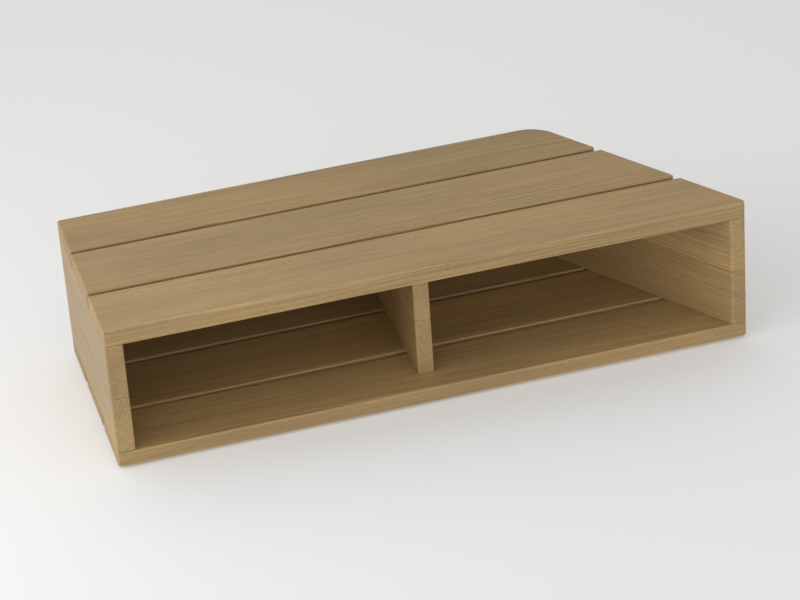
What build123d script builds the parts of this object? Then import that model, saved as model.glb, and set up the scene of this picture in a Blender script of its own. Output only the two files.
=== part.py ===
from build123d import *
import math
import os

os.makedirs("parts", exist_ok=True)

# Low wooden bathing step: three tread slats over two open compartments.
# Millimetres. +X runs along the slats to the oblique end, +Y runs from the open
# front to the closed back, +Z is up. The origin is at the centre of the bounding
# box in plan, on the surface that the rubber pads stand on.

# ---- overall size ----
overall_length = 663.0      # left end to the rounded front right corner
rear_length = 515.0         # left end to the rear right corner, before rounding
depth = 228.0               # front to back
height = 162.0              # floor to tread

# ---- boards ----
tread_thickness = 18.0
base_thickness = 16.0
pad_height = 3.0
slat_spans = [(0.0, 72.0), (77.0, 157.0), (162.0, 228.0)]   # 5 mm drainage gaps
left_thickness = 19.0
divider_thickness = 17.0
divider_centre = 327.5      # from the left end
divider_setback = 28.0      # behind the front edge
right_thickness = 17.0      # measured square to the oblique side
back_thickness = 15.0
back_inset = 1.0            # back boards sit inside the rear edges of the slats
joint_height = 82.5         # floor to the joint between lower and upper boards

# ---- rounding ----
front_corner_radius = 5.0   # acute corner, in plan
rear_corner_radius = 40.0   # obtuse corner, in plan
corner_ease = 2.5           # upright arrises of the slats
top_ease = 2.0              # upper arrises of the slats
under_ease = 1.2            # lower arrises of the slats
board_corner_ease = 2.0     # upright arrises of the side boards and divider
board_ease = 1.5            # lying arrises of the side boards, divider and back

# ---- dowels and screws ----
dowel_d = 8.0
tread_dowel_in_slat = 14.0
tread_dowel_in_board = 16.0
board_dowel_half = 15.0
end_dowel_d = 6.0
end_dowel_in_side = 10.0
end_dowel_in_back = 14.0
screw_d = 4.0
screw_head_d = 8.0
screw_sink = 0.4
screw_length = 50.0
back_screw_length = 35.0
pad_d = 24.0
pad_screw_d = 3.0
pad_screw_head_d = 6.0
pad_screw_sink = 0.8
pad_screw_length = 13.0

# ---- derived levels ----
z_base = pad_height
z_floor = pad_height + base_thickness
z_under = height - tread_thickness
z_joint = joint_height
ox = overall_length / 2.0
oy = depth / 2.0

# The acute front corner is rounded, so the sharp corner lies beyond the overall
# length by a little; a few rounds of substitution settle it.
front_corner_x = overall_length
for _ in range(40):
    acute = math.atan2(depth, front_corner_x - rear_length)
    front_corner_x = (overall_length - front_corner_radius
                      + front_corner_radius / math.tan(acute / 2.0))
slant = (front_corner_x - rear_length) / depth          # inward run per mm of depth
right_along_x = right_thickness / math.sin(acute)       # side thickness along X


def x_outer(y):
    """Outer face of the oblique side at depth y."""
    return front_corner_x - slant * y


def x_inner(y):
    """Inner face of the oblique side at depth y."""
    return x_outer(y) - right_along_x


def x_right_mid(y):
    return x_outer(y) - right_along_x / 2.0


def prism(points, z0, z1):
    """Straight prism on a plan polygon given from the left end and the front."""
    wire = Polyline(*[(x - ox, y - oy, z0) for x, y in points], close=True)
    solid = extrude(make_face(wire), amount=z1 - z0, dir=(0, 0, 1))
    return solid


def upright_edges(solid, x=None, y=None, tol=0.6):
    """Vertical edges, all of them or the one at plan point x, y."""
    found = solid.edges().filter_by(Axis.Z)
    if x is not None:
        found = found.filter_by(lambda e: abs(e.center().X - (x - ox)) < tol
                                and abs(e.center().Y - (y - oy)) < tol)
    return found


def level_edges(solid, z):
    return solid.edges().filter_by(lambda e: abs(e.bounding_box().min.Z - z) < 1e-4
                                   and abs(e.bounding_box().max.Z - z) < 1e-4)


def ease_levels(solid, z_low, r_low, z_high, r_high):
    solid = fillet(level_edges(solid, z_high), r_high)
    return fillet(level_edges(solid, z_low), r_low)


def slat(index, z0, z1, r_low, r_high):
    """One slat over the full length, cut obliquely at the right end."""
    y0, y1 = slat_spans[index]
    body = prism([(0, y0), (x_outer(y0), y0), (x_outer(y1), y1), (0, y1)], z0, z1)
    radii = {(0, y0): corner_ease, (0, y1): corner_ease,
             (x_outer(y0), y0): front_corner_radius if index == 0 else corner_ease,
             (x_outer(y1), y1): rear_corner_radius if index == 2 else corner_ease}
    for (x, y), r in radii.items():
        body = fillet(upright_edges(body, x, y), r)
    return ease_levels(body, z0, r_low, z1, r_high)


def straight_board(x0, x1, y0, y1, z0, z1):
    body = prism([(x0, y0), (x1, y0), (x1, y1), (x0, y1)], z0, z1)
    body = fillet(upright_edges(body), board_corner_ease)
    return ease_levels(body, z0, board_ease, z1, board_ease)


def oblique_board(z0, z1):
    """Board of the oblique side; its rear end follows the rounded corner."""
    outline = prism([(0, 0), (x_outer(0), 0), (x_outer(depth), depth), (0, depth)], z0, z1)
    outline = fillet(upright_edges(outline, x_outer(0), 0), front_corner_radius)
    outline = fillet(upright_edges(outline, x_outer(depth), depth), rear_corner_radius)
    over = 30.0
    band = prism([(x_inner(0), 0), (x_outer(0) + over, 0),
                  (x_outer(depth) + over, depth), (x_inner(depth), depth)], z0, z1)
    body = outline & band
    body = fillet(upright_edges(body, x_inner(0), 0), board_corner_ease)
    return ease_levels(body, z0, board_ease, z1, board_ease)


def back_board(z0, z1):
    y0 = depth - back_inset - back_thickness
    y1 = depth - back_inset
    body = prism([(left_thickness, y0), (x_inner(y0), y0), (x_inner(y1), y1),
                  (left_thickness, y1)], z0, z1)
    edges = body.edges().filter_by(Axis.X)
    return fillet(edges, board_ease)


def rod(x, y, z0, z1, d):
    """Upright round pin from z0 to z1, with small chamfers at both ends."""
    c = 0.8
    pin = Pos(x - ox, y - oy, (z0 + z1) / 2.0) * Cylinder(d / 2.0, z1 - z0)
    return chamfer(pin.edges().filter_by(GeomType.CIRCLE), c)


def rod_x(x0, x1, y, z, d):
    """Round pin lying along X."""
    pin = Pos((x0 + x1) / 2.0 - ox, y - oy, z) * Rot(0, 90, 0) * Cylinder(d / 2.0, x1 - x0)
    return chamfer(pin.edges().filter_by(GeomType.CIRCLE), 0.6)


def screw_blank(d, head_d, length):
    """Countersunk screw along +Z, head face at z = 0, without its recess."""
    cone = (head_d - d) / 2.0
    point = d * 0.8
    profile = Polyline((0, 0, 0), (head_d / 2.0, 0, 0), (head_d / 2.0, 0, 0.3),
                       (d / 2.0, 0, 0.3 + cone), (d / 2.0, 0, length - point),
                       (0.25, 0, length), (0, 0, length), close=True)
    return revolve(make_face(profile), Axis.Z)


def screw(blank, head_d):
    """The blank with a cross recess in its head."""
    long = head_d * 0.56
    wide = head_d * 0.13
    deep = head_d * 0.24
    return (blank - Box(long, wide, 2 * deep) - Box(wide, long, 2 * deep))


def sunk_hole(blank, head_d, sink):
    """Space that a screw takes, with the mouth above its head."""
    mouth = Pos(0, 0, -sink) * Cylinder(head_d / 2.0, 2 * sink)
    return blank + mouth


# ---- boards ----
names = ["front", "middle", "rear"]
part = {}
for i, name in enumerate(names):
    part["tread_slat_" + name] = slat(i, z_under, height, under_ease, top_ease)
    part["base_slat_" + name] = slat(i, z_base, z_floor, under_ease, top_ease)

div0 = divider_centre - divider_thickness / 2.0
div1 = divider_centre + divider_thickness / 2.0
back_face = depth - back_inset - back_thickness
for name, z0, z1 in (("lower", z_floor, z_joint), ("upper", z_joint, z_under)):
    part["left_side_%s_board" % name] = straight_board(0, left_thickness, 0, depth, z0, z1)
    part["divider_%s_board" % name] = straight_board(div0, div1, divider_setback, back_face, z0, z1)
    part["right_side_%s_board" % name] = oblique_board(z0, z1)
    part["back_%s_board" % name] = back_board(z0, z1)

# ---- where the fasteners go: depth from the front ----
side_rows = [15.0, 56.0, 92.0, 142.0, 177.0, 209.0]
divider_rows = [48.0, 92.0, 142.0, 179.0]
side_joint_rows = [30.0, 114.0, 197.0]
divider_joint_rows = [48.0, 112.0, 168.0]


def slat_at(y):
    for i, (y0, y1) in enumerate(slat_spans):
        if y0 < y < y1:
            return names[i]


uprights = {
    "left_side": (lambda y: left_thickness / 2.0, side_rows, side_joint_rows),
    "divider": (lambda y: divider_centre, divider_rows, divider_joint_rows),
    "right_side": (x_right_mid, side_rows, side_joint_rows),
}

blank = screw_blank(screw_d, screw_head_d, screw_length)
base_space = sunk_hole(blank, screw_head_d, screw_sink)
base_screw = screw(blank, screw_head_d)
group = {}

for side, (x_at, rows, joint_rows) in uprights.items():
    group[side + "_tread_dowels"] = []
    group[side + "_board_dowels"] = []
    group[side + "_base_screws"] = []
    for y in rows:
        x = x_at(y)
        # blind dowel from the upper board into a tread slat
        pin = rod(x, y, z_under - tread_dowel_in_board, z_under + tread_dowel_in_slat, dowel_d)
        hole = Pos(x - ox, y - oy, z_under + (tread_dowel_in_slat - tread_dowel_in_board) / 2.0) \
            * Cylinder(dowel_d / 2.0, tread_dowel_in_board + tread_dowel_in_slat + 2.0)
        group[side + "_tread_dowels"].append(pin)
        part["tread_slat_" + slat_at(y)] -= hole
        part[side + "_upper_board"] -= hole
        # countersunk screw from below, through a base slat into the lower board
        place = Pos(x - ox, y - oy, z_base + screw_sink)
        group[side + "_base_screws"].append(place * base_screw)
        part["base_slat_" + slat_at(y)] -= place * base_space
        part[side + "_lower_board"] -= place * base_space
    for y in joint_rows:
        x = x_at(y)
        pin = rod(x, y, z_joint - board_dowel_half, z_joint + board_dowel_half, dowel_d)
        hole = Pos(x - ox, y - oy, z_joint) * Cylinder(dowel_d / 2.0, 2 * board_dowel_half + 2.0)
        group[side + "_board_dowels"].append(pin)
        part[side + "_lower_board"] -= hole
        part[side + "_upper_board"] -= hole

# ---- back boards: end dowels into both sides, screws into the divider ----
y_mid_back = depth - back_inset - back_thickness / 2.0
group["back_end_dowels"] = []
group["back_screws"] = []
back_blank = screw_blank(screw_d, screw_head_d, back_screw_length)
back_space = sunk_hole(back_blank, screw_head_d, screw_sink)
back_screw = screw(back_blank, screw_head_d)
for name, z0, z1 in (("lower", z_floor, z_joint), ("upper", z_joint, z_under)):
    zc = (z0 + z1) / 2.0
    for z in (zc - 16.0, zc + 16.0):
        for side, x_face, sign in (("left_side", left_thickness, -1.0),
                                   ("right_side", x_inner(y_mid_back), 1.0)):
            a = x_face - sign * end_dowel_in_back
            b = x_face + sign * end_dowel_in_side
            lo, hi = min(a, b), max(a, b)
            group["back_end_dowels"].append(rod_x(lo, hi, y_mid_back, z, end_dowel_d))
            hole = Pos((lo + hi) / 2.0 - ox, y_mid_back - oy, z) * Rot(0, 90, 0) \
                * Cylinder(end_dowel_d / 2.0, hi - lo + 1.0)
            part["back_%s_board" % name] -= hole
            part["%s_%s_board" % (side, name)] -= hole
        place = Pos(divider_centre - ox, depth - back_inset - screw_sink - oy, z) * Rot(90, 0, 0)
        group["back_screws"].append(place * back_screw)
        part["back_%s_board" % name] -= place * back_space
        part["divider_%s_board" % name] -= place * back_space

# ---- rubber pads under the front and rear base slats ----
pad_spots = [(30.0, 22.0), (327.5, 22.0), (617.0, 22.0),
             (30.0, 206.0), (327.5, 206.0), (488.0, 206.0)]
pad_blank = screw_blank(pad_screw_d, pad_screw_head_d, pad_screw_length)
pad_space = sunk_hole(pad_blank, pad_screw_head_d, pad_screw_sink)
pad_screw = screw(pad_blank, pad_screw_head_d)
group["foot_pads"] = []
group["foot_pad_screws"] = []
for x, y in pad_spots:
    pad = Pos(x - ox, y - oy, pad_height / 2.0) * Cylinder(pad_d / 2.0, pad_height)
    pad = fillet(level_edges(pad, 0.0), 0.8)
    place = Pos(x - ox, y - oy, pad_screw_sink)
    group["foot_pads"].append(pad - place * pad_space)
    group["foot_pad_screws"].append(place * pad_screw)
    part["base_slat_" + slat_at(y)] -= place * pad_space

# ---- write one file for each node ----
for name, shape in part.items():
    export_step(Compound(children=list(shape.solids())), "parts/%s.step" % name)
for name, shapes in group.items():
    solids = [s for shape in shapes for s in shape.solids()]
    export_step(Compound(children=solids), "parts/%s.step" % name)

print("front corner, sharp: %.2f mm from the left end" % front_corner_x)
print("oblique side: %.2f degrees off square" % (90.0 - math.degrees(acute)))
print("nodes: %d" % (len(part) + len(group)))
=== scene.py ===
import math

import bmesh
import bpy
import numpy as np
from mathutils import Matrix, Vector


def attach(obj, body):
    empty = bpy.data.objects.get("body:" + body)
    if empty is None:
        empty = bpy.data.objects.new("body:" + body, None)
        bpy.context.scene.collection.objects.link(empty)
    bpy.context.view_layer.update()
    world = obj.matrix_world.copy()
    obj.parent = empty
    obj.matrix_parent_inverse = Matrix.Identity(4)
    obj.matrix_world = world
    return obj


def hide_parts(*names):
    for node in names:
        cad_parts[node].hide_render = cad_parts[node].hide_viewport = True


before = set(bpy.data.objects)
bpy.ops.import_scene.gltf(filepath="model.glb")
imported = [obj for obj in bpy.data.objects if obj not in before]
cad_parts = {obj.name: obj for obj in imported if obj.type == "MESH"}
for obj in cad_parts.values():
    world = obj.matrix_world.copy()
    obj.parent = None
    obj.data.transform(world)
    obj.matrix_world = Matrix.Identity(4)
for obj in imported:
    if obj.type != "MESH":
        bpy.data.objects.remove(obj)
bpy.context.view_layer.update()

MM = 0.001

# ---------------------------------------------------------------- the design, in mm
LENGTH, DEPTH, HEIGHT = 663.0, 228.0, 162.0
REAR_LENGTH = 515.0
SPANS = [(0.0, 72.0), (77.0, 157.0), (162.0, 228.0)]
NAMES = ["front", "middle", "rear"]
Z_BASE, Z_FLOOR, Z_UNDER = 3.0, 19.0, 144.0
Z_JOINT = 82.5
LEFT_T, DIV_T, RIGHT_T, BACK_T = 19.0, 17.0, 17.0, 15.0
DIV_C, DIV_BACK_SET, BACK_INSET = 327.5, 28.0, 1.0
FRONT_R, REAR_R = 5.0, 40.0
OX, OY = LENGTH / 2, DEPTH / 2

front_x = LENGTH
for _ in range(40):
    acute = math.atan2(DEPTH, front_x - REAR_LENGTH)
    front_x = LENGTH - FRONT_R + FRONT_R / math.tan(acute / 2)
SLANT = (front_x - REAR_LENGTH) / DEPTH
RIGHT_X = RIGHT_T / math.sin(acute)


def x_outer(y):
    return front_x - SLANT * y


def x_inner(y):
    return x_outer(y) - RIGHT_X


# ---------------------------------------------------------------- board meshes
HALF = 4            # segments in half of a rounded plan corner
ROUND = 6           # segments across an eased edge


def smooth_noise(count, seed, waves=9):
    """A closed smooth random curve of zero mean, about -1 to 1."""
    rng = np.random.default_rng(seed)
    t = np.arange(count) / count * 2 * math.pi
    out = np.zeros(count)
    for k in range(1, waves + 1):
        a, p = rng.normal(0, 1 / math.sqrt(k)), rng.uniform(0, 2 * math.pi)
        out += a * np.cos(k * t + p)
    return out / max(1e-6, np.abs(out).max())


def stations(length, first=(2.5, 7.0), pitch=13.0):
    """Fractions along a straight run: close together near both ends, even between."""
    marks = [m for m in first if m < length * 0.35]
    inner0, inner1 = (marks[-1] if marks else 0.0), length - (marks[-1] if marks else 0.0)
    n = max(1, int(round((inner1 - inner0) / pitch)))
    mids = [inner0 + (inner1 - inner0) * i / n for i in range(1, n)]
    xs = marks + mids + [length - m for m in reversed(marks)]
    return [x / length for x in xs]


def outline(corners, radii, pitch):
    """Four sides, each a run of (point, outward normal) from one mid-corner to the next."""
    c = [np.array(p, float) for p in corners]
    fans = []
    for k in range(4):
        d0 = c[k] - c[k - 1]
        d1 = c[(k + 1) % 4] - c[k]
        d0, d1 = d0 / np.linalg.norm(d0), d1 / np.linalg.norm(d1)
        turn = math.acos(max(-1, min(1, float(d0 @ d1))))
        r = radii[k]
        n0 = np.array([d0[1], -d0[0]])
        centre = c[k] - d0 * r * math.tan(turn / 2) - n0 * r
        a0 = math.atan2(n0[1], n0[0])
        fan = []
        for i in range(2 * HALF + 1):
            a = a0 + turn * i / (2 * HALF)
            n = np.array([math.cos(a), math.sin(a)])
            fan.append((centre + r * n, n))
        fans.append(fan)
    runs = []
    for k in range(4):
        a, b = fans[k][-1][0], fans[(k + 1) % 4][0][0]
        runs.append(float(np.linalg.norm(b - a)))
    marks = [None] * 4
    for k in (0, 1):
        marks[k] = stations((runs[k] + runs[k + 2]) / 2, pitch=pitch[k])
        marks[k + 2] = [1 - t for t in reversed(marks[k])]
    sides = []
    for k in range(4):
        first, second = fans[k][HALF:], fans[(k + 1) % 4][:HALF + 1]
        a, n = first[-1]
        b = second[0][0]
        straight = [(a + (b - a) * t, n) for t in marks[k]]
        sides.append(first + straight + second)
    return sides


def prism(name, sides, z0, z1, r_low, r_top, seed, z_pitch=13.0, wobble=0.15):
    """A board: a closed all-quad mesh on a plan of four sides, with eased upper and lower edges.
    The easing varies a little along each edge, as hand sanding leaves it."""
    n, m = len(sides[0]), len(sides[1])
    assert len(sides[2]) == n and len(sides[3]) == m, (name, [len(x) for x in sides])
    ring = []
    for side in sides:
        ring += side[:-1]
    count = len(ring)
    pts = np.array([p for p, _ in ring])
    nor = np.array([q for _, q in ring])
    rt = r_top * (1 + wobble * smooth_noise(count, seed))
    rl = r_low * (1 + wobble * smooth_noise(count, seed + 77))
    levels = []
    for i in range(ROUND + 1):
        t = math.pi / 2 * i / ROUND
        levels.append((rl * (1 - math.sin(t)), z0 + rl * (1 - math.cos(t))))
    lo, hi = z0 + 2.2 * r_low, z1 - 2.2 * r_top
    if hi - lo > 3:
        k = max(1, int(round((hi - lo) / z_pitch)))
        for i in range(k + 1):
            levels.append((np.zeros(count), np.full(count, lo + (hi - lo) * i / k)))
    for i in range(ROUND + 1):
        t = math.pi / 2 * i / ROUND
        levels.append((rt * (1 - math.cos(t)), z1 - rt * (1 - math.sin(t))))
    verts, faces, loops = [], [], []
    for inset, z in levels:
        loop = []
        for i in range(count):
            x, y = pts[i] - nor[i] * inset[i]
            loop.append(len(verts))
            verts.append((x - OX, y - OY, float(z[i])))
        loops.append(loop)
    for a, b in zip(loops, loops[1:]):
        for i in range(count):
            j = (i + 1) % count
            faces.append((a[i], a[j], b[j], b[i]))

    def cap(loop, upward):
        s0 = loop[0:n]
        s1 = loop[n - 1:n + m - 1]
        s2 = loop[n + m - 2:2 * n + m - 2]
        s3 = loop[2 * n + m - 3:] + [loop[0]]
        bottom, right, top, left = s0, s1, list(reversed(s2)), list(reversed(s3))
        v = np.array(verts)

        def lengths(ids):
            seg = np.linalg.norm(np.diff(v[ids], axis=0), axis=1)
            return np.concatenate([[0], np.cumsum(seg)]) / seg.sum()

        us = (lengths(bottom) + lengths(top)) / 2
        vs = (lengths(left) + lengths(right)) / 2
        p00, p10, p01, p11 = v[bottom[0]], v[bottom[-1]], v[top[0]], v[top[-1]]
        grid = [[None] * m for _ in range(n)]
        for i in range(n):
            for j in range(m):
                if j == 0:
                    grid[i][j] = bottom[i]
                elif j == m - 1:
                    grid[i][j] = top[i]
                elif i == 0:
                    grid[i][j] = left[j]
                elif i == n - 1:
                    grid[i][j] = right[j]
                else:
                    a, b = us[i], vs[j]
                    p = ((1 - b) * v[bottom[i]] + b * v[top[i]] + (1 - a) * v[left[j]] + a * v[right[j]]
                         - ((1 - a) * (1 - b) * p00 + a * (1 - b) * p10 + (1 - a) * b * p01 + a * b * p11))
                    grid[i][j] = len(verts)
                    verts.append(tuple(p))
        for i in range(n - 1):
            for j in range(m - 1):
                q = (grid[i][j], grid[i + 1][j], grid[i + 1][j + 1], grid[i][j + 1])
                faces.append(q if upward else tuple(reversed(q)))

    cap(loops[0], False)
    cap(loops[-1], True)
    me = bpy.data.meshes.new(name)
    me.from_pydata([(x * MM, y * MM, z * MM) for x, y, z in verts], [], faces)
    me.validate()
    ob = bpy.data.objects.new(name, me)
    bpy.context.scene.collection.objects.link(ob)
    return ob


def apply_modifiers(ob):
    dg = bpy.context.evaluated_depsgraph_get()
    me = bpy.data.meshes.new_from_object(ob.evaluated_get(dg), depsgraph=dg)
    old = ob.data
    ob.modifiers.clear()
    ob.data = me
    me.name = ob.name
    bpy.data.meshes.remove(old)


def cut(ob, tool):
    """Takes the tool's volume out of ob and removes the tool."""
    mod = ob.modifiers.new("cut", "BOOLEAN")
    mod.operation = "DIFFERENCE"
    mod.solver = "EXACT"
    mod.object = tool
    bpy.context.view_layer.update()
    apply_modifiers(ob)
    bpy.data.objects.remove(tool)


def lathe(profile, segs, closed_profile=False):
    """Vertices and faces of a profile of (r, z) turned about Z; r = 0 closes at a pole."""
    verts, faces, rows = [], [], []
    for r, z in profile:
        if r <= 1e-9:
            rows.append([len(verts)])
            verts.append((0.0, 0.0, z))
        else:
            rows.append(list(range(len(verts), len(verts) + segs)))
            for i in range(segs):
                a = 2 * math.pi * i / segs
                verts.append((r * math.cos(a), r * math.sin(a), z))
    pairs = list(zip(rows, rows[1:]))
    if closed_profile:
        pairs.append((rows[-1], rows[0]))
    for a, b in pairs:
        for i in range(segs):
            j = (i + 1) % segs
            if len(a) == 1 and len(b) > 1:
                faces.append((a[0], b[j], b[i]))
            elif len(b) == 1 and len(a) > 1:
                faces.append((a[i], a[j], b[0]))
            elif len(a) > 1:
                faces.append((a[i], a[j], b[j], b[i]))
    return np.array(verts), faces


def place_all(name, verts, faces, places, turns=None):
    """One mesh of copies of the same closed shape. A place is (origin mm, z direction)."""
    all_v, all_f = [], []
    for k, (origin, zdir) in enumerate(places):
        rot = Vector((0, 0, 1)).rotation_difference(Vector(zdir)).to_matrix()
        spin = Matrix.Rotation((turns[k] if turns else 0.0), 3, "Z")
        mat = np.array(rot @ spin)
        v = verts @ mat.T + np.array(origin)
        base = sum(len(a) for a in all_v)
        all_v.append(v)
        all_f += [tuple(i + base for i in f) for f in faces]
    v = np.concatenate(all_v) * MM
    me = bpy.data.meshes.new(name)
    me.from_pydata([tuple(p) for p in v], [], all_f)
    me.validate()
    bm = bmesh.new()
    bm.from_mesh(me)
    bmesh.ops.recalc_face_normals(bm, faces=bm.faces)
    bm.to_mesh(me)
    bm.free()
    ob = bpy.data.objects.new(name, me)
    bpy.context.scene.collection.objects.link(ob)
    return ob


def finish_mesh(ob, angle=35):
    me = ob.data
    me.polygons.foreach_set("use_smooth", [True] * len(me.polygons))
    me.set_sharp_from_angle(angle=math.radians(angle))
    mod = ob.modifiers.new("normals", "WEIGHTED_NORMAL")
    mod.keep_sharp = True
    mod.weight = 60


# ---------------------------------------------------------------- where fasteners go
SIDE_ROWS = [15.0, 56.0, 92.0, 142.0, 177.0, 209.0]
DIV_ROWS = [48.0, 92.0, 142.0, 179.0]
SIDE_JOINTS = [30.0, 114.0, 197.0]
DIV_JOINTS = [48.0, 112.0, 168.0]
UPRIGHTS = {
    "left_side": (lambda y: LEFT_T / 2, SIDE_ROWS, SIDE_JOINTS),
    "divider": (lambda y: DIV_C, DIV_ROWS, DIV_JOINTS),
    "right_side": (lambda y: x_outer(y) - RIGHT_X / 2, SIDE_ROWS, SIDE_JOINTS),
}
PADS = [(30.0, 22.0), (327.5, 22.0), (617.0, 22.0), (30.0, 206.0), (327.5, 206.0), (488.0, 206.0)]
Y_BACK = DEPTH - BACK_INSET - BACK_T / 2
BACK_ZS = {"lower": [], "upper": []}
for half, (a, b) in (("lower", (Z_FLOOR, Z_JOINT)), ("upper", (Z_JOINT, Z_UNDER))):
    BACK_ZS[half] = [(a + b) / 2 - 16, (a + b) / 2 + 16]


def slat_at(y):
    for i, (a, b) in enumerate(SPANS):
        if a < y < b:
            return i


# ---------------------------------------------------------------- boards
U = np.array([-SLANT, 1.0]) / math.hypot(SLANT, 1.0)     # along the oblique side, front to rear
N = np.array([U[1], -U[0]])                              # out of the oblique side
TURN = math.acos(float(-U[0]))                           # turn of the plan's rear right corner
REAR_CENTRE = np.array([x_outer(DEPTH), DEPTH]) - U * REAR_R * math.tan(TURN / 2) - N * REAR_R
FRONT_CENTRE = (np.array([x_outer(0.0), 0.0]) - np.array([1.0, 0.0]) * FRONT_R / math.tan(acute / 2)
                + np.array([0.0, FRONT_R]))


def fan(corner, d0, d1, r):
    """Rounded corner between directions d0 and d1: points with outward normals."""
    turn = math.acos(max(-1, min(1, float(d0 @ d1))))
    n0 = np.array([d0[1], -d0[0]])
    c = corner - d0 * r * math.tan(turn / 2) - n0 * r
    b0 = math.atan2(n0[1], n0[0])
    out = []
    for i in range(2 * HALF + 1):
        a = b0 + turn * i / (2 * HALF)
        q = np.array([math.cos(a), math.sin(a)])
        out.append((c + r * q, q))
    return out


def oblique_sides():
    """Plan of the oblique side: its rear end follows the slats' rounded corner."""
    a0 = math.atan2(N[1], N[0])
    a_end = a0
    for i in range(4001):
        a = a0 + TURN * i / 4000
        p = REAR_CENTRE + REAR_R * np.array([math.cos(a), math.sin(a)])
        if p[0] <= x_inner(p[1]):
            break
        a_end, p_end = a, p
    tangent = np.array([-math.sin(a_end), math.cos(a_end)])
    small = 1.7
    inner_rear = fan(p_end, tangent, -U, small)
    reach = small * math.tan(math.acos(float(tangent @ -U)) / 2)
    sweep = []
    for i in range(2 * HALF + 1):
        a = a0 + (a_end - (reach + 1.2) / REAR_R - a0) * i / (2 * HALF)
        q = np.array([math.cos(a), math.sin(a)])
        sweep.append((REAR_CENTRE + REAR_R * q, q))
    fans = [fan(np.array([x_inner(0.0), 0.0]), -U, np.array([1.0, 0.0]), 2.0),
            fan(np.array([x_outer(0.0), 0.0]), np.array([1.0, 0.0]), U, FRONT_R),
            sweep, inner_rear]
    run = float(np.linalg.norm(sweep[0][0] - fans[1][-1][0]))
    marks = stations(run)
    sides = []
    for k in range(4):
        first, second = fans[k][HALF:], fans[(k + 1) % 4][:HALF + 1]
        a, q = first[-1]
        b = second[0][0]
        steps = {0: [], 1: marks, 2: [], 3: [1 - t for t in reversed(marks)]}[k]
        sides.append(first + [(a + (b - a) * t, q) for t in steps] + second)
    return sides


boards, plans = {}, {}
EASE = 2.6


def add_board(name, corners, radii, z0, z1, r_low, r_top, seed, pitch=(13.0, 13.0), sides=None):
    if sides is None:
        sides = outline(corners, radii, pitch)
    boards[name] = prism("oak_" + name, sides, z0, z1, r_low, r_top, seed)
    plans[name] = (corners, z0, z1)


for i, part_name in enumerate(NAMES):
    y0, y1 = SPANS[i]
    corners = [(0, y0), (x_outer(y0), y0), (x_outer(y1), y1), (0, y1)]
    radii = [EASE, FRONT_R if i == 0 else EASE, REAR_R if i == 2 else EASE, EASE]
    add_board("tread_slat_" + part_name, corners, radii, Z_UNDER, HEIGHT, 1.3, 2.1, 11 + i)
    add_board("base_slat_" + part_name, corners, radii, Z_BASE, Z_FLOOR, 1.3, 1.9, 31 + i)

y_b0, y_b1 = DEPTH - BACK_INSET - BACK_T, DEPTH - BACK_INSET
d0, d1 = DIV_C - DIV_T / 2, DIV_C + DIV_T / 2
for k, (half, z0, z1) in enumerate((("lower", Z_FLOOR, Z_JOINT), ("upper", Z_JOINT, Z_UNDER))):
    add_board("left_side_%s_board" % half, [(0, 0), (LEFT_T, 0), (LEFT_T, DEPTH), (0, DEPTH)],
              [2.1] * 4, z0, z1, 1.5, 1.5, 51 + k, pitch=(6.0, 13.0))
    add_board("divider_%s_board" % half, [(d0, DIV_BACK_SET), (d1, DIV_BACK_SET), (d1, y_b0), (d0, y_b0)],
              [2.1] * 4, z0, z1, 1.5, 1.5, 61 + k, pitch=(6.0, 13.0))
    add_board("right_side_%s_board" % half,
              [(x_inner(0.0), 0.0), (x_outer(0.0), 0.0), (x_outer(DEPTH), DEPTH), (x_inner(DEPTH), DEPTH)],
              None, z0, z1, 1.4, 1.4, 81 + k, sides=oblique_sides())
    add_board("back_%s_board" % half, [(LEFT_T, y_b0), (x_inner(y_b0), y_b0), (x_inner(y_b1), y_b1), (LEFT_T, y_b1)],
              [1.6] * 4, z0, z1, 1.3, 1.3, 71 + k, pitch=(13.0, 6.0))

# ---------------------------------------------------------------- holes
SCREW = dict(d=4.0, head=8.0, sink=0.4, length=50.0)
BACK_SCREW = dict(d=4.0, head=8.0, sink=0.4, length=35.0)
PAD_SCREW = dict(d=3.0, head=6.0, sink=0.8, length=13.0)


def screw_space(d, head, sink, length):
    cone = (head - d) / 2
    return lathe([(0, -2.0), (head / 2, -2.0), (head / 2, 0.3), (d / 2, 0.3 + cone),
                  (d / 2, length - 0.8 * d), (0.25, length), (0, length)], 40)


def pin_space(d, length):
    return lathe([(0, -length / 2), (d / 2, -length / 2), (d / 2, length / 2), (0, length / 2)], 40)


cuts = {name: [] for name in boards}
dowel_spots = {s + t: [] for s in UPRIGHTS for t in ("_tread_dowels", "_board_dowels")}
screw_spots = {s + "_base_screws": [] for s in UPRIGHTS}
for side, (x_at, rows, joints) in UPRIGHTS.items():
    for y in rows:
        x = x_at(y)
        slat = NAMES[slat_at(y)]
        dowel_spots[side + "_tread_dowels"].append(((x - OX, y - OY, Z_UNDER - 1.0), (0, 0, 1)))
        space = (pin_space(8.0, 32.0), (x - OX, y - OY, Z_UNDER - 1.0), (0, 0, 1))
        cuts["tread_slat_" + slat].append(space)
        cuts[side + "_upper_board"].append(space)
        spot = ((x - OX, y - OY, Z_BASE + SCREW["sink"]), (0, 0, 1))
        screw_spots[side + "_base_screws"].append(spot)
        space = (screw_space(**SCREW),) + spot
        cuts["base_slat_" + slat].append(space)
        cuts[side + "_lower_board"].append(space)
    for y in joints:
        x = x_at(y)
        dowel_spots[side + "_board_dowels"].append(((x - OX, y - OY, Z_JOINT), (0, 0, 1)))
        space = (pin_space(8.0, 32.0), (x - OX, y - OY, Z_JOINT), (0, 0, 1))
        cuts[side + "_lower_board"].append(space)
        cuts[side + "_upper_board"].append(space)
end_spots, back_spots = [], []
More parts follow.
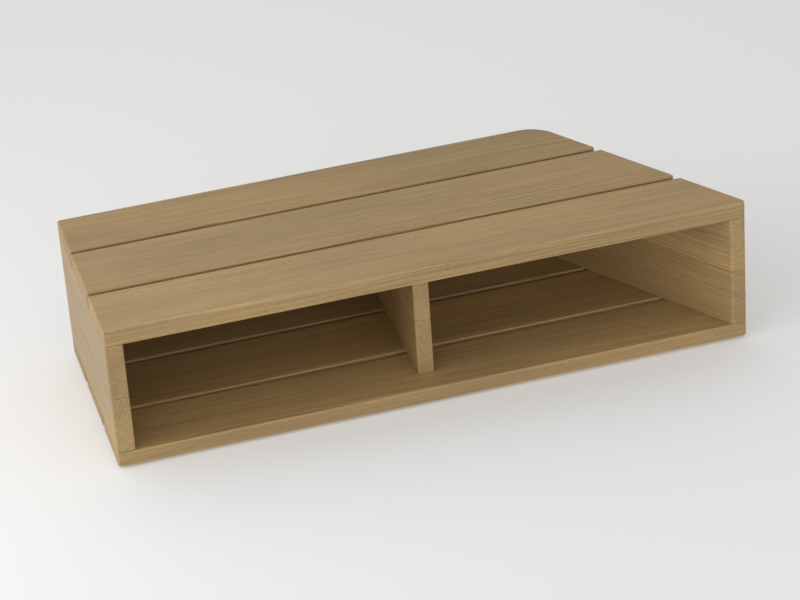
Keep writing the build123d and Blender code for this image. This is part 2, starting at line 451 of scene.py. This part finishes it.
for half in ("lower", "upper"):
    for z in BACK_ZS[half]:
        for side, x_face, sign in (("left_side", LEFT_T, -1.0), ("right_side", x_inner(Y_BACK), 1.0)):
            c = x_face + sign * (10.0 - 14.0) / 2
            end_spots.append(((c - OX, Y_BACK - OY, z), (1, 0, 0)))
            space = (pin_space(6.0, 25.0), (c - OX, Y_BACK - OY, z), (1, 0, 0))
            cuts["back_%s_board" % half].append(space)
            cuts["%s_%s_board" % (side, half)].append(space)
        spot = ((DIV_C - OX, DEPTH - BACK_INSET - BACK_SCREW["sink"] - OY, z), (0, -1, 0))
        back_spots.append(spot)
        space = (screw_space(**BACK_SCREW),) + spot
        cuts["back_%s_board" % half].append(space)
        cuts["divider_%s_board" % half].append(space)
pad_spots = []
for x, y in PADS:
    spot = ((x - OX, y - OY, PAD_SCREW["sink"]), (0, 0, 1))
    pad_spots.append(spot)
    cuts["base_slat_" + NAMES[slat_at(y)]].append((screw_space(**PAD_SCREW),) + spot)

for name, ob in boards.items():
    verts, faces, base = [], [], 0
    for (v, f), origin, zdir in cuts[name]:
        rot = np.array(Vector((0, 0, 1)).rotation_difference(Vector(zdir)).to_matrix())
        verts.append(v @ rot.T + np.array(origin))
        faces += [tuple(i + base for i in q) for q in f]
        base += len(v)
    me = bpy.data.meshes.new("tool")
    me.from_pydata([tuple(p) for p in np.concatenate(verts) * MM], [], faces)
    bm = bmesh.new()
    bm.from_mesh(me)
    bmesh.ops.recalc_face_normals(bm, faces=bm.faces)
    bm.to_mesh(me)
    bm.free()
    tool = bpy.data.objects.new("tool", me)
    bpy.context.scene.collection.objects.link(tool)
    cut(ob, tool)

# ---------------------------------------------------------------- what the wood's pattern reads
# grain: place in the tree, in cm, x along the trunk and y, z out from its heart
# gdir: direction of the grain; edge: mm to the nearest arris; board: tone, warmth, seed
FRAMES = {
    "slat": ((1, 0, 0), (0, 1, 0), (0, 0, 1)),
    "side": ((0, 1, 0), (0, 0, 1), (1, 0, 0)),
    "oblique": ((float(U[0]), float(U[1]), 0), (0, 0, 1), (float(N[0]), float(N[1]), 0)),
    "back": ((1, 0, 0), (0, 0, 1), (0, 1, 0)),
}
#        name                        frame      heart w, t (cm)  tone   warmth
LOOKS = {
    "tread_slat_front": ("slat", (11.5, -7.2), 0.03, 0.05),
    "tread_slat_middle": ("slat", (-12.4, -6.6), -0.03, -0.05),
    "tread_slat_rear": ("slat", (10.2, -9.3), -0.10, 0.15),
    "base_slat_front": ("slat", (-8.6, -7.0), -0.01, 0.05),
    # the middle and rear base slats' lowered tone is painted shade that darkens the compartment floors
    "base_slat_middle": ("slat", (6.2, 9.0), -0.08, 0.12),
    "base_slat_rear": ("slat", (-9.5, 7.2), -0.12, -0.05),
    "left_side_lower_board": ("side", (6.4, -9.0), 0.05, -0.10),
    "left_side_upper_board": ("side", (-7.7, -8.1), 0.00, 0.10),
    "divider_lower_board": ("side", (8.1, 6.2), -0.04, 0.12),
    "divider_upper_board": ("side", (-5.0, 9.4), 0.05, -0.05),
    "right_side_lower_board": ("oblique", (-8.8, -6.6), 0.00, 0.16),
    "right_side_upper_board": ("oblique", (5.2, -9.9), 0.07, 0.02),
    # the back boards' lowered tone is painted shade that darkens the compartment backs
    "back_lower_board": ("back", (-6.5, 8.8), -0.13, 0.08),
    "back_upper_board": ("back", (8.3, 7.6), -0.09, -0.08),
}


def edge_distance(p, plan):
    """mm from points (from the left end and the front) to the nearest arris of a board."""
    corners, z0, z1 = plan
    c = [np.array(q, float) for q in corners]
    d = np.full(len(p), 1e9)
    near = np.full(len(p), 1e9)
    for k in range(4):
        a, b = c[k], c[(k + 1) % 4]
        t = (b - a) / np.linalg.norm(b - a)
        n = np.array([-t[1], t[0]])
        d = np.minimum(d, (p[:, :2] - a) @ n)
        away = np.linalg.norm(p[:, :2] - a, axis=1)
        big = (np.allclose(a, (x_outer(DEPTH), DEPTH)) or np.allclose(a, (x_outer(0.0), 0.0)))
        if not big:
            near = np.minimum(near, away)
    for centre, r, corner in ((REAR_CENTRE, REAR_R, (x_outer(DEPTH), DEPTH)), (FRONT_CENTRE, FRONT_R, (x_outer(0.0), 0.0))):
        if any(np.allclose(q, corner) for q in c):
            v = p[:, :2] - centre
            out = np.array(corner) - centre
            out = out / np.linalg.norm(out)
            length = np.linalg.norm(v, axis=1)
            cosine = (v @ out) / np.maximum(length, 1e-9)
            half = TURN / 2 if r == REAR_R else (math.pi - acute) / 2
            inside = cosine > math.cos(half)
            d = np.where(inside, np.minimum(d, r - length), d)
    dz = np.minimum(p[:, 2] - z0, z1 - p[:, 2])
    return np.clip(np.minimum(np.maximum(np.maximum(d, 0), np.maximum(dz, 0)), near), 0, 40)


def put(me, name, kind, values):
    att = me.attributes.new(name, kind, "POINT")
    att.data.foreach_set("vector" if kind == "FLOAT_VECTOR" else "value", np.ascontiguousarray(values, dtype=np.float32).ravel())


rng = np.random.default_rng(2024)
for name, ob in boards.items():
    me = ob.data
    kind, (hw, ht), tone, warmth = LOOKS[name]
    g, w, t = (np.array(a, float) for a in FRAMES[kind])
    co = np.empty(len(me.vertices) * 3)
    me.vertices.foreach_get("co", co)
    co = co.reshape(-1, 3) / MM
    centre = (co.min(axis=0) + co.max(axis=0)) / 2
    tilt, roll = rng.uniform(-0.012, 0.012, 2)
    start = rng.uniform(10, 300)
    rel = (co - centre) / 10.0
    a, b, c = rel @ g, rel @ w, rel @ t
    grain = np.stack([a + start, b + tilt * a - hw, c + roll * a - ht], axis=1)
    put(me, "grain", "FLOAT_VECTOR", grain)
    put(me, "gdir", "FLOAT_VECTOR", np.tile(g, (len(co), 1)))
    put(me, "board", "FLOAT_VECTOR", np.tile([tone, warmth, rng.uniform(0, 50)], (len(co), 1)))
    put(me, "edge", "FLOAT", edge_distance(co + np.array([OX, OY, 0]), plans[name]))
    finish_mesh(ob)
    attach(ob, "root")
    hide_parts(name)


# ---------------------------------------------------------------- fasteners and pads
def grid_turned(rows, segs):
    """Closed mesh of rings; a row is (z, radii array of segs). Ends close at their centres."""
    verts, faces = [(0.0, 0.0, rows[0][0])], []
    for z, radii in rows:
        for i in range(segs):
            a = 2 * math.pi * i / segs
            verts.append((radii[i] * math.cos(a), radii[i] * math.sin(a), z))
    verts.append((0.0, 0.0, rows[-1][0]))
    for i in range(segs):
        j = (i + 1) % segs
        faces.append((0, 1 + j, 1 + i))
        for k in range(len(rows) - 1):
            a, b = 1 + k * segs, 1 + (k + 1) * segs
            faces.append((a + i, a + j, b + j, b + i))
        a = 1 + (len(rows) - 1) * segs
        faces.append((a + i, a + j, len(verts) - 1))
    return np.array(verts), faces


def dowel(d, length, flutes=12, per=8):
    """Fluted hardwood pin along Z, centred, with chamfered ends."""
    segs = flutes * per
    t = np.arange(segs) / per
    groove = np.clip(np.cos(2 * math.pi * t) - 0.35, 0, 1) / 0.65 * 0.32
    rows = []
    c = 0.1 * d

    def row(z, r, deep):
        rows.append((z, r - groove * deep))

    half = length / 2
    row(-half, d / 2 - c, 0.0)
    row(-half + c * 0.5, d / 2 - c * 0.38, 0.4)
    row(-half + c, d / 2, 0.9)
    n = int(length / 4)
    for i in range(1, n):
        row(-half + c + (length - 2 * c) * i / n, d / 2, 1.0)
    row(half - c, d / 2, 0.9)
    row(half - c * 0.5, d / 2 - c * 0.38, 0.4)
    row(half, d / 2 - c, 0.0)
    return grid_turned(rows, segs)


def wood_screw(d, head, length, pitch, plain):
    """Countersunk screw along +Z, head face at z = 0: plain shank, then a helical thread, then a point."""
    segs = 24
    cone = (head - d) / 2
    point = 0.8 * d
    turn = np.arange(segs) / segs
    rows = [(0.0, np.full(segs, head / 2 - 0.06)), (0.06, np.full(segs, head / 2)), (0.3, np.full(segs, head / 2))]
    for f in (0.35, 0.7, 1.0):
        rows.append((0.3 + cone * f, np.full(segs, head / 2 - (head / 2 - d / 2) * f)))
    shank = 0.80 * d / 2
    rows.append((0.3 + cone + 0.5, np.full(segs, shank + 0.05)))
    rows.append((plain, np.full(segs, shank)))
    z = plain
    while z < length - point:
        z += pitch / 7
        grow = min(1.0, (z - plain) / pitch)
        wave = (turn + z / pitch) % 1.0
        ridge = np.clip(1 - np.abs(wave - 0.5) / 0.30, 0, 1)
        r = (0.62 * d / 2) * grow + shank * (1 - grow) + ridge * grow * (d / 2 - 0.62 * d / 2)
        rows.append((z, np.minimum(r, d / 2)))
    z0, steps = z, 7
    for i in range(1, steps + 1):
        z = z0 + (length - z0) * i / steps
        left = 1 - i / steps
        wave = (turn + z / pitch) % 1.0
        ridge = np.clip(1 - np.abs(wave - 0.5) / 0.30, 0, 1)
        r = 0.12 + (0.62 * d / 2 - 0.12) * left + ridge * left * (d / 2 - 0.62 * d / 2)
        rows.append((z, r))
    verts, faces = grid_turned(rows, segs)
    me = bpy.data.meshes.new("blank")
    me.from_pydata([tuple(v * MM * 10) for v in verts], [], faces)
    ob = bpy.data.objects.new("blank", me)
    bpy.context.scene.collection.objects.link(ob)
    long, wide, deep = 0.56 * head / 2, 0.13 * head / 2, 0.24 * head
    for a, b in ((long, wide), (wide, long)):
        bm = bmesh.new()
        ring = []
        for z, k in ((-1.0, 1.05), (deep, 0.62)):
            ring.append([bm.verts.new((x * a * k * MM * 10, y * b * k * MM * 10, z * MM * 10))
                         for x, y in ((-1, -1), (1, -1), (1, 1), (-1, 1))])
        bm.faces.new(list(reversed(ring[0])))
        bm.faces.new(ring[1])
        for i in range(4):
            j = (i + 1) % 4
            bm.faces.new((ring[0][i], ring[0][j], ring[1][j], ring[1][i]))
        bmesh.ops.recalc_face_normals(bm, faces=bm.faces)
        tm = bpy.data.meshes.new("bit")
        bm.to_mesh(tm)
        bm.free()
        tool = bpy.data.objects.new("bit", tm)
        bpy.context.scene.collection.objects.link(tool)
        cut(ob, tool)
    me = ob.data
    v = np.array([tuple(q.co) for q in me.vertices]) / (MM * 10)
    f = [tuple(p.vertices) for p in me.polygons]
    bpy.data.objects.remove(ob)
    return v, f


def pad_shape():
    """Rubber pad with a countersunk hole and ring grooves in its underside."""
    profile = [(1.5, 3.0), (1.5, 2.6), (3.0, 1.1), (3.0, 0.15), (3.15, 0.0)]
    for r in (4.6, 6.8, 9.0):
        profile += [(r, 0.0), (r + 0.15, 0.12), (r + 0.25, 0.5), (r + 0.75, 0.5), (r + 0.85, 0.12), (r + 1.0, 0.0)]
    for i in range(6):
        a = math.pi / 2 * i / 5
        profile.append((11.2 + 0.8 * math.sin(a), 0.8 - 0.8 * math.cos(a)))
    profile += [(12.0, 1.7), (12.0, 2.75), (11.93, 2.93), (11.75, 3.0)]
    return lathe(profile, 72, closed_profile=True)


made = {}
d8, d6 = dowel(8.0, 30.0), dowel(6.0, 24.0, flutes=10)
spins = np.random.default_rng(77)


def group(name, shape, spots, angle=32):
    turns = [float(spins.uniform(0, 2 * math.pi)) for _ in spots]
    ob = place_all("set_" + name, shape[0], shape[1], spots, turns)
    finish_mesh(ob, angle)
    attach(ob, "root")
    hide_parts(name)
    made[name] = ob
    return ob


long_screw = wood_screw(4.0, 8.0, 50.0, 2.0, 18.0)
back_screw = wood_screw(4.0, 8.0, 35.0, 2.0, 12.0)
pad_screw = wood_screw(3.0, 6.0, 13.0, 1.3, 3.2)
for name, spots in dowel_spots.items():
    centre_shift = 1.0 if name.endswith("tread_dowels") else 0.0
    spots = [((x, y, z), d) for (x, y, z), d in spots]
    group(name, d8, [((x, y, z), d) for (x, y, z), d in spots])
group("back_end_dowels", d6, end_spots)
for name, spots in screw_spots.items():
    group(name, long_screw, spots, 40)
group("back_screws", back_screw, back_spots, 40)
group("foot_pad_screws", pad_screw, pad_spots, 40)
group("foot_pads", pad_shape(), [((x - OX, y - OY, 0.0), (0, 0, 1)) for x, y in PADS])


# ---------------------------------------------------------------- materials
class Tree:
    """A material's node tree, with short names for the nodes used here."""

    def __init__(self, name):
        self.mat = bpy.data.materials.new(name)
        self.mat.use_nodes = True
        self.nt = self.mat.node_tree
        self.nt.nodes.clear()
        self.out = self.nt.nodes.new("ShaderNodeOutputMaterial")

    def node(self, kind, **props):
        n = self.nt.nodes.new("ShaderNode" + kind)
        for k, v in props.items():
            setattr(n, k, v)
        return n

    def put(self, socket, value):
        if isinstance(value, bpy.types.NodeSocket):
            self.nt.links.new(value, socket)
        elif value is not None:
            if hasattr(socket.default_value, "__len__") and not hasattr(value, "__len__"):
                value = (value,) * len(socket.default_value)
            socket.default_value = value

    def m(self, op, a, b=None, c=None, clamp=False):
        n = self.node("Math", operation=op, use_clamp=clamp)
        for s, v in zip(n.inputs, (a, b, c)):
            self.put(s, v)
        return n.outputs[0]

    def v(self, op, a, b=None, scale=None):
        n = self.node("VectorMath", operation=op)
        self.put(n.inputs[0], a)
        if b is not None:
            self.put(n.inputs[1], b)
        if scale is not None:
            self.put(n.inputs["Scale"], scale)
        return n.outputs[1] if op in ("LENGTH", "DOT_PRODUCT") else n.outputs[0]

    def noise(self, vector, detail=2.0, rough=0.5, color=False):
        n = self.node("TexNoise", noise_dimensions="3D")
        self.put(n.inputs["Vector"], vector)
        n.inputs["Scale"].default_value = 1.0
        n.inputs["Detail"].default_value = detail
        n.inputs["Roughness"].default_value = rough
        return n.outputs[1] if color else n.outputs[0]

    def noise1(self, w, detail=1.0):
        n = self.node("TexNoise", noise_dimensions="1D")
        self.put(n.inputs["W"], w)
        n.inputs["Scale"].default_value = 1.0
        n.inputs["Detail"].default_value = detail
        return n.outputs[0]

    def cells(self, vector, output=0):
        n = self.node("TexVoronoi", voronoi_dimensions="3D", feature="F1")
        self.put(n.inputs["Vector"], vector)
        n.inputs["Scale"].default_value = 1.0
        return n.outputs[output]

    def ease(self, x, lo, hi, a=0.0, b=1.0):
        n = self.node("MapRange", interpolation_type="SMOOTHSTEP")
        for s, v in zip(n.inputs, (x, lo, hi, a, b)):
            self.put(s, v)
        return n.outputs[0]

    def ramp(self, x, stops):
        n = self.node("ValToRGB")
        e = n.color_ramp.elements
        while len(e) < len(stops):
            e.new(0.5)
        for k, (p, c) in enumerate(stops):
            e[k].position = p
            e[k].color = tuple(c) + (1.0,) if hasattr(c, "__len__") else (c, c, c, 1.0)
        self.put(n.inputs[0], x)
        return n.outputs[0]

    def mix(self, f, a, b, mode="MIX"):
        n = self.node("Mix", data_type="RGBA", blend_type=mode)
        self.put(n.inputs[0], f)
        for s, v in ((n.inputs[6], a), (n.inputs[7], b)):
            self.put(s, tuple(v) + (1.0,) if isinstance(v, tuple) and len(v) == 3 else v)
        return n.outputs[2]

    def attribute(self, name, vector=True):
        n = self.node("Attribute", attribute_name=name)
        return n.outputs["Vector"] if vector else n.outputs["Fac"]

    def xyz(self, v):
        n = self.node("SeparateXYZ")
        self.put(n.inputs[0], v)
        return n.outputs

    def join(self, x, y, z):
        n = self.node("CombineXYZ")
        for s, v in zip(n.inputs, (x, y, z)):
            self.put(s, v)
        return n.outputs[0]

    def bump(self, height, distance, strength=1.0, normal=None):
        n = self.node("Bump")
        n.inputs["Strength"].default_value = strength
        n.inputs["Distance"].default_value = distance
        self.put(n.inputs["Height"], height)
        self.put(n.inputs["Normal"], normal)
        return n.outputs[0]

    def surface(self, **sockets):
        n = self.node("BsdfPrincipled")
        for k, v in sockets.items():
            self.put(n.inputs[k.replace("_", " ")], v)
        self.nt.links.new(n.outputs[0], self.out.inputs[0])
        return self.mat


def oak(name, late, early, pore):
    """Oiled oak. All patterns live in the tree's own space, in cm, so faces of one board agree at
    its corners: rings show as arcs on the ends and as long lines on the faces."""
    t = Tree(name)
    g = t.attribute("grain")
    board = t.xyz(t.attribute("board"))
    seed = t.join(board[2], board[2], 0.0)
    w1 = t.v("SUBTRACT", t.noise(t.v("ADD", t.v("MULTIPLY", g, (0.045, 0.30, 0.30)), seed), 1.0, color=True), (0.5, 0.5, 0.5))
    w2 = t.v("SUBTRACT", t.noise(t.v("MULTIPLY", g, (0.22, 1.5, 1.5)), 2.0, color=True), (0.5, 0.5, 0.5))
    p = t.v("ADD", g, t.v("ADD", t.v("MULTIPLY", w1, (0.0, 1.1, 1.1)), t.v("MULTIPLY", w2, (0.0, 0.16, 0.16))))
    r = t.v("LENGTH", t.v("MULTIPLY", p, (0.0, 1.0, 1.0)))
    slow = t.m("SUBTRACT", t.noise1(t.m("MULTIPLY_ADD", r, 1.1, board[2])), 0.5)
    phase = t.m("DIVIDE", t.m("MULTIPLY_ADD", slow, 0.40, r), 0.235)
    part = t.m("FRACT", phase)
    whole = t.m("FLOOR", phase)
    white = t.node("TexWhiteNoise", noise_dimensions="1D")
    t.put(white.inputs["W"], t.m("ADD", whole, board[2]))
    ring = white.outputs[0]
    band = t.ramp(part, [(0.0, 0.25), (0.05, 1.0), (0.22, 0.72), (0.42, 0.16), (0.86, 0.0), (1.0, 0.25)])
    band = t.m("MULTIPLY", band, t.m("MULTIPLY_ADD", ring, 0.75, 0.35), clamp=True)
    fibre = t.noise(t.v("MULTIPLY", p, (0.45, 13.0, 13.0)), 2.0, 0.6)
    fine = t.noise(t.v("MULTIPLY", p, (2.2, 52.0, 52.0)), 1.0, 0.5)
    cell = t.cells(t.v("MULTIPLY", p, (2.0, 21.0, 21.0)))
    vessels = t.m("MULTIPLY", t.ease(cell, 0.16, 0.46, 1.0, 0.0), t.m("MULTIPLY_ADD", band, 0.90, 0.16), clamp=True)
    ray_cell = t.noise(t.v("MULTIPLY", p, (1.6, 5.5, 5.5)), 2.0, 0.55)
    flecks = t.ease(ray_cell, 0.60, 0.74, 0.0, 1.0)
    broad = t.noise(t.v("ADD", t.v("MULTIPLY", g, (0.030, 0.20, 0.20)), seed), 3.0, 0.55)
    streak = t.noise(t.v("MULTIPLY", p, (0.06, 2.6, 2.6)), 3.0, 0.6)
    normal = t.node("NewGeometry").outputs["Normal"]
    end = t.ease(t.m("ABSOLUTE", t.v("DOT_PRODUCT", normal, t.attribute("gdir"))), 0.55, 0.92)
    edge = t.attribute("edge", False)
    # edges up to 13% lighter: partly sanding wear, partly painted highlight standing for light caught on the eased
    # arrises
    rub_and_highlight_noise = t.noise(t.v("MULTIPLY", g, (0.7, 2.2, 2.2)), 2.0, 0.6)
    wear_and_highlight = t.ease(t.m("MULTIPLY_ADD", t.m("SUBTRACT", rub_and_highlight_noise, 0.5), 2.6, edge), 0.3, 2.4, 1.0, 0.0)

    col = t.mix(t.m("MULTIPLY", band, 0.80), late, early)
    col = t.mix(t.m("MULTIPLY", vessels, 0.72), col, pore)
    col = t.mix(t.m("MULTIPLY", flecks, t.m("MULTIPLY_ADD", end, -0.16, 0.16)), col, tuple(min(1.0, c * 1.25) for c in late))
    value = t.m("MULTIPLY_ADD", t.m("SUBTRACT", fibre, 0.5), 0.30, 1.0)
    value = t.m("MULTIPLY", value, t.m("MULTIPLY_ADD", t.m("SUBTRACT", fine, 0.5), 0.18, 1.0))
    value = t.m("MULTIPLY", value, t.m("MULTIPLY_ADD", t.m("SUBTRACT", broad, 0.5), 0.55, 1.0))
    value = t.m("MULTIPLY", value, t.m("MULTIPLY_ADD", t.m("SUBTRACT", streak, 0.5), 0.62, 1.0))
    value = t.m("MULTIPLY", value, t.m("MULTIPLY_ADD", t.m("SUBTRACT", ring, 0.5), 0.07, 1.0))
    # board tone: random per board, and lowered on the back boards and the middle and rear base slats as painted
    # shade
    value = t.m("MULTIPLY", value, t.m("ADD", board[0], 1.0))
    value = t.m("MULTIPLY", value, t.m("MULTIPLY_ADD", end, 0.02, 1.0))
    # lighter arrises: sanding wear and painted highlight
    value = t.m("MULTIPLY", value, t.m("MULTIPLY_ADD", wear_and_highlight, 0.13, 1.0))
    col = t.v("SCALE", col, scale=value)
    warm = t.m("ADD", board[1], t.m("MULTIPLY", t.m("SUBTRACT", broad, 0.5), 1.2))
    col = t.v("MULTIPLY", col, t.join(t.m("MULTIPLY_ADD", warm, 0.045, 1.0), 1.0, t.m("MULTIPLY_ADD", warm, -0.14, 1.0)))

    rough = t.m("MULTIPLY_ADD", fibre, 0.12, 0.36)
    rough = t.m("ADD", rough, t.m("MULTIPLY", band, 0.10))
    rough = t.m("ADD", rough, t.m("MULTIPLY", end, 0.16))
    rough = t.m("ADD", rough, t.m("MULTIPLY", t.m("SUBTRACT", broad, 0.5), 0.16), clamp=True)

    height = t.m("MULTIPLY", vessels, -0.60)
    height = t.m("ADD", height, t.m("MULTIPLY", band, -0.20))
    height = t.m("ADD", height, t.m("MULTIPLY", fibre, 0.30))
    height = t.m("ADD", height, t.m("MULTIPLY", fine, 0.10))
    soft = t.noise(t.v("MULTIPLY", g, (0.10, 0.55, 0.55)), 1.0)
    fall = t.bump(soft, 0.0012, 0.6)
    nrm = t.bump(height, 0.00022, 0.8, fall)
    return t.surface(Base_Color=col, Roughness=rough, IOR=1.48, Normal=nrm, Coat_Weight=0.10, Coat_Roughness=0.30)


def beech(name):
    t = Tree(name)
    p = t.v("SCALE", t.node("TexCoord").outputs["Object"], scale=100.0)
    tone = t.noise(t.v("MULTIPLY", p, (0.7, 0.7, 0.7)), 2.0)
    flecks = t.ease(t.cells(t.v("MULTIPLY", p, (14.0, 14.0, 5.0))), 0.10, 0.34, 1.0, 0.0)
    fibre = t.noise(t.v("MULTIPLY", p, (30.0, 30.0, 3.0)), 2.0)
    col = t.mix(tone, (0.46, 0.30, 0.17), (0.60, 0.43, 0.27))
    col = t.mix(t.m("MULTIPLY", flecks, 0.45), col, (0.30, 0.17, 0.085))
    col = t.v("SCALE", col, scale=t.m("MULTIPLY_ADD", t.m("SUBTRACT", fibre, 0.5), 0.30, 1.0))
    rough = t.m("MULTIPLY_ADD", fibre, 0.15, 0.52)
    nrm = t.bump(t.m("SUBTRACT", fibre, flecks), 0.0001, 0.6)
    return t.surface(Base_Color=col, Roughness=rough, IOR=1.48, Normal=nrm)


def steel(name):
    t = Tree(name)
    p = t.v("SCALE", t.node("TexCoord").outputs["Object"], scale=1000.0)
    tone = t.noise(t.v("MULTIPLY", p, (0.35, 0.35, 0.35)), 3.0)
    lines = t.noise(t.v("MULTIPLY", p, (0.6, 6.0, 6.0)), 2.0)
    col = t.mix(tone, (0.50, 0.50, 0.49), (0.68, 0.67, 0.65))
    col = t.mix(t.ease(t.noise(t.v("MULTIPLY", p, (0.9, 0.9, 0.9)), 4.0), 0.62, 0.78, 0.0, 0.5), col, (0.30, 0.28, 0.25))
    rough = t.m("MULTIPLY_ADD", lines, 0.22, 0.20)
    nrm = t.bump(lines, 0.00003, 0.5)
    return t.surface(Base_Color=col, Roughness=rough, Metallic=1.0, Normal=nrm)


def rubber(name):
    t = Tree(name)
    p = t.v("SCALE", t.node("TexCoord").outputs["Object"], scale=1000.0)
    tone = t.noise(t.v("MULTIPLY", p, (0.12, 0.12, 0.12)), 3.0)
    grain = t.noise(t.v("MULTIPLY", p, (2.4, 2.4, 2.4)), 3.0, 0.6)
    dust = t.ease(t.noise(t.v("MULTIPLY", p, (0.5, 0.5, 0.5)), 4.0), 0.55, 0.75, 0.0, 0.35)
    col = t.mix(tone, (0.020, 0.020, 0.021), (0.040, 0.039, 0.038))
    col = t.mix(dust, col, (0.11, 0.105, 0.10))
    rough = t.m("MULTIPLY_ADD", grain, 0.25, 0.58)
    nrm = t.bump(grain, 0.0001, 0.7)
    return t.surface(Base_Color=col, Roughness=rough, IOR=1.5, Normal=nrm)


LATE, EARLY, PORE = (0.428, 0.287, 0.124), (0.300, 0.185, 0.072), (0.140, 0.078, 0.030)
tread_oak = oak("oak_tread", LATE, EARLY, PORE)
base_oak = oak("oak_base", LATE, EARLY, PORE)
side_oak = oak("oak_side", LATE, EARLY, PORE)
beech_mat, steel_mat, rubber_mat = beech("beech_dowel"), steel("steel_screw"), rubber("rubber_pad")
for name, ob in boards.items():
    ob.data.materials.clear()
    ob.data.materials.append(tread_oak if name.startswith("tread") else base_oak if name.startswith("base") else side_oak)
for name, ob in made.items():
    mat = rubber_mat if name == "foot_pads" else steel_mat if name.endswith("screws") else beech_mat
    ob.data.materials.append(mat)
for name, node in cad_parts.items():
    node.data.materials.clear()
    mat = (rubber_mat if name == "foot_pads" else steel_mat if name.endswith("screws")
           else beech_mat if name.endswith("dowels") else side_oak)
    node.data.materials.append(mat)

# ---------------------------------------------------------------- stage, light, camera
me = bpy.data.meshes.new("floor")
me.from_pydata([(-12, -12, -0.0002), (12, -12, -0.0002), (12, 12, -0.0002), (-12, 12, -0.0002)], [], [(0, 1, 2, 3)])
floor = bpy.data.objects.new("floor", me)
bpy.context.scene.collection.objects.link(floor)
t = Tree("pale_floor")
plain = t.node("BsdfPrincipled")
plain.inputs["Base Color"].default_value = (0.88, 0.88, 0.875, 1)
plain.inputs["Roughness"].default_value = 0.75
plain.inputs["Specular IOR Level"].default_value = 0.2
plain.inputs["Emission Color"].default_value = (1.0, 1.0, 1.0, 1)
clear = t.node("BsdfTransparent")
side = t.node("MixShader")
path = t.node("LightPath")
near = t.m("MULTIPLY", t.m("LESS_THAN", path.outputs["Ray Length"], 0.012), t.m("SUBTRACT", 1.0, path.outputs["Is Camera Ray"]))
t.put(side.inputs[0], t.m("MAXIMUM", near, t.node("NewGeometry").outputs["Backfacing"]))
t.put(plain.inputs["Emission Strength"], t.m("MULTIPLY", path.outputs["Is Camera Ray"], 0.10))
t.put(side.inputs[1], plain.outputs[0])
t.put(side.inputs[2], clear.outputs[0])
t.put(t.out.inputs[0], side.outputs[0])
me.materials.append(t.mat)

world = bpy.data.worlds.new("studio")
bpy.context.scene.world = world
world.use_nodes = True
world.node_tree.nodes["Background"].inputs[0].default_value = (1.0, 1.0, 1.0, 1)
world.node_tree.nodes["Background"].inputs[1].default_value = 0.57


def area(name, location, target, width, height, power, colour=(1, 1, 1), spread=180):
    l = bpy.data.lights.new(name, "AREA")
    l.shape = "RECTANGLE"
    l.size, l.size_y, l.energy, l.color = width, height, power, colour
    l.spread = math.radians(spread)
    ob = bpy.data.objects.new(name, l)
    bpy.context.scene.collection.objects.link(ob)
    ob.location = location
    ob.rotation_mode = "QUATERNION"
    ob.rotation_quaternion = (Vector(target) - Vector(location)).to_track_quat("-Z", "Y")
    ob.visible_camera = False
    return ob


area("window", (-1.5, -0.22, 0.65), (-0.1, 0.0, 0.08), 0.9, 0.9, 2.9, spread=110)
area("front", (0.5, -3.2, 1.2), (0.0, 0.0, 0.08), 2.2, 1.8, 12.5)
area("above_left", (-0.95, -0.9, 1.4), (-0.05, 0.0, 0.08), 1.0, 1.0, 2.8)
area("near_left", (-0.60, 0.05, 0.72), (-0.25, 0.0, 0.15), 0.3, 0.3, 0.35)
area("right_fill", (0.75, -0.80, 0.35), (0.25, 0.0, 0.10), 0.5, 0.5, 0.30)
area("behind", (-0.5, 1.3, 1.5), (0.0, 0.0, 0.08), 1.4, 1.4, 1.8)

cam_data = bpy.data.cameras.new("camera")
cam_data.sensor_width = 36.0
cam_data.lens = 159.79
cam_data.clip_end = 100.0
cam = bpy.data.objects.new("camera", cam_data)
bpy.context.scene.collection.objects.link(cam)
eye, aim, roll = Vector((-0.7312, -3.0105, 1.9986)), Vector((-0.0057, -0.0015, 0.0578)), 0.0744
ahead = (aim - eye).normalized()
right = ahead.cross(Vector((0, 0, 1))).normalized()
down = ahead.cross(right)
right, down = right * math.cos(roll) + down * math.sin(roll), down * math.cos(roll) - right * math.sin(roll)
turn = Matrix((right, -down, -ahead)).transposed()
cam.matrix_world = Matrix.Translation(eye) @ turn.to_4x4()
bpy.context.scene.camera = cam
bpy.context.scene.view_settings.view_transform = "Standard"

bpy.context.view_layer.update()
